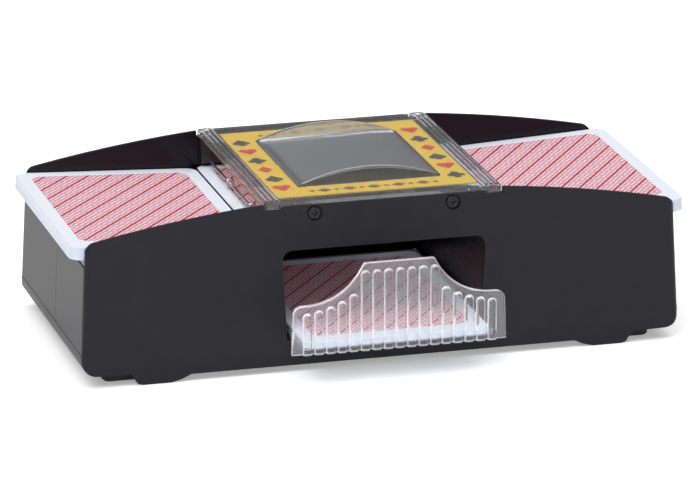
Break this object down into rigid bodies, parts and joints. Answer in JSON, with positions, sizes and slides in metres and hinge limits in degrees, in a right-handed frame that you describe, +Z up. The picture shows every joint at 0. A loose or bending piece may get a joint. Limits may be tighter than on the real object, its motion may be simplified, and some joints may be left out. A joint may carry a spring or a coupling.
{
  "type": "automatic card shuffler",
  "caption": "Battery card shuffler: two sloping card trays with driven feed rollers, an arched housing, a clear lid with a vaulted window and a clear fluted card drawer.",
  "frame": {"origin": "middle of the whole object's box with the drawer pulled out as at rest, on the surface the feet stand on", "axes": "+Z up, the drawer's front faces -Y, the trays lie along X"},
  "size_m": [0.2088, 0.1132, 0.0626],
  "materials": {
    "charcoal_plastic": "fine moulded texture",
    "inner_plastic": "smooth satin",
    "foot_rubber": "matt",
    "black_screw": "black oxide",
    "steel": "bright drawn wire and bar",
    "clear_plastic": "polished clear plastic",
    "label": "printed film",
    "cards": "coated card",
    "tyre_rubber": "ground",
    "nylon": "natural nylon",
    "motor_steel": "plated can",
    "brass": "turned",
    "cell_sleeve": "printed sleeve",
    "contact_plate": "nickel plated",
    "switch_plastic": "satin",
    "button_plastic": "satin"
  },
  "bodies": {
    "housing": {"front_shell": "charcoal_plastic", "rear_shell": "charcoal_plastic", "base_pan": "charcoal_plastic", "rubber_feet": "foot_rubber", "front_rod_bracket": "inner_plastic", "rear_rod_bracket": "inner_plastic", "front_screws": "black_screw", "rear_screws": "black_screw", "base_screws": "black_screw", "switch_body": "switch_plastic", "roller_bushes": "brass", "idler_pins": "steel", "battery_contacts": "contact_plate", "right_tray": "inner_plastic", "right_card_gate": "inner_plastic", "right_retarder_rod": "steel", "right_retarder_rings": "steel", "right_bearing_plate": "inner_plastic", "right_gear_plate": "inner_plastic", "right_motor_can": "motor_steel", "right_motor_end_cap": "nylon", "right_motor_cradle": "inner_plastic", "right_cells": "cell_sleeve", "left_tray": "inner_plastic", "left_card_gate": "inner_plastic", "left_retarder_rod": "steel", "left_retarder_rings": "steel", "left_bearing_plate": "inner_plastic", "left_gear_plate": "inner_plastic", "left_motor_can": "motor_steel", "left_motor_end_cap": "nylon", "left_motor_cradle": "inner_plastic", "left_cells": "cell_sleeve"},
    "drawer": {"card_drawer": "clear_plastic"},
    "drawer_pile": {"drawer_cards": "cards"},
    "loose_card": {"fed_card": "cards"},
    "lid": {"clear_lid": "clear_plastic", "lid_label": "label"},
    "button": {"run_button": "button_plastic"},
    "right_pile": {"right_deck": "cards"},
    "right_roller": {"right_feed_roller": "nylon", "right_roller_tyres": "tyre_rubber", "right_roller_shaft": "steel", "right_roller_gear": "nylon"},
    "right_inner_idler_body": {"right_inner_idler": "nylon"},
    "right_outer_idler_body": {"right_outer_idler": "nylon"},
    "right_armature": {"right_motor_shaft": "steel", "right_motor_pinion": "brass"},
    "right_door": {"right_battery_door": "charcoal_plastic"},
    "left_pile": {"left_deck": "cards"},
    "left_roller": {"left_feed_roller": "nylon", "left_roller_tyres": "tyre_rubber", "left_roller_shaft": "steel", "left_roller_gear": "nylon"},
    "left_inner_idler_body": {"left_inner_idler": "nylon"},
    "left_outer_idler_body": {"left_outer_idler": "nylon"},
    "left_armature": {"left_motor_shaft": "steel", "left_motor_pinion": "brass"},
    "left_door": {"left_battery_door": "charcoal_plastic"}
  },
  "joints": [
    {"name": "drawer_slide", "type": "slide", "parent": "housing", "child": "drawer", "axis": [0, -1, 0], "range_m": [-0.0161, 0.06]},
    {"name": "drawer_cards_lift", "type": "slide", "parent": "drawer", "child": "drawer_pile", "axis": [0, 0, 1], "range_m": [0, 0.02]},
    {"name": "loose_card_feed", "type": "slide", "parent": "housing", "child": "loose_card", "axis": [1, 0, 0], "range_m": [0, 0.01]},
    {"name": "lid_lift", "type": "slide", "parent": "housing", "child": "lid", "axis": [0, 0, 1], "range_m": [0, 0.06]},
    {"name": "button_press", "type": "slide", "parent": "housing", "child": "button", "axis": [-1, 0, 0], "range_m": [0, 0.0015], "stiffness_N_per_m": 400},
    {"name": "right_deck_lift", "type": "slide", "parent": "housing", "child": "right_pile", "axis": [0, 0, 1], "range_m": [0, 0.06]},
    {"name": "right_battery_door_drop", "type": "slide", "parent": "housing", "child": "right_door", "axis": [0, 0, -1], "range_m": [0, 0.015]},
    {"name": "right_roller_spin", "type": "hinge", "parent": "housing", "child": "right_roller", "pos_m": [0.047, 0.00962, 0.03077], "axis": [0, 1, 0], "continuous": true},
    {"name": "right_inner_idler_spin", "type": "hinge", "parent": "housing", "child": "right_inner_idler_body", "pos_m": [0.05479, 0.00962, 0.02627], "axis": [0, 1, 0], "continuous": true},
    {"name": "right_outer_idler_spin", "type": "hinge", "parent": "housing", "child": "right_outer_idler_body", "pos_m": [0.06767, 0.00962, 0.02446], "axis": [0, 1, 0], "continuous": true},
    {"name": "right_armature_spin", "type": "hinge", "parent": "housing", "child": "right_armature", "pos_m": [0.08016, 0.00962, 0.02402], "axis": [0, 1, 0], "continuous": true},
    {"name": "left_deck_lift", "type": "slide", "parent": "housing", "child": "left_pile", "axis": [0, 0, 1], "range_m": [0, 0.06]},
    {"name": "left_battery_door_drop", "type": "slide", "parent": "housing", "child": "left_door", "axis": [0, 0, -1], "range_m": [0, 0.015]},
    {"name": "left_roller_spin", "type": "hinge", "parent": "housing", "child": "left_roller", "pos_m": [-0.047, 0.00962, 0.03077], "axis": [0, 1, 0], "continuous": true},
    {"name": "left_inner_idler_spin", "type": "hinge", "parent": "housing", "child": "left_inner_idler_body", "pos_m": [-0.05479, 0.00962, 0.02627], "axis": [0, 1, 0], "continuous": true},
    {"name": "left_outer_idler_spin", "type": "hinge", "parent": "housing", "child": "left_outer_idler_body", "pos_m": [-0.06767, 0.00962, 0.02446], "axis": [0, 1, 0], "continuous": true},
    {"name": "left_armature_spin", "type": "hinge", "parent": "housing", "child": "left_armature", "pos_m": [-0.08016, 0.00962, 0.02402], "axis": [0, 1, 0], "continuous": true}
  ],
  "couplings": [
    {"joint": "right_inner_idler_spin", "follows": "right_roller_spin", "ratio": -2},
    {"joint": "right_outer_idler_spin", "follows": "right_roller_spin", "ratio": 6.6667},
    {"joint": "right_armature_spin", "follows": "right_roller_spin", "ratio": -26.667},
    {"joint": "left_inner_idler_spin", "follows": "left_roller_spin", "ratio": -2},
    {"joint": "left_outer_idler_spin", "follows": "left_roller_spin", "ratio": 6.6667},
    {"joint": "left_armature_spin", "follows": "left_roller_spin", "ratio": -26.667}
  ]
}
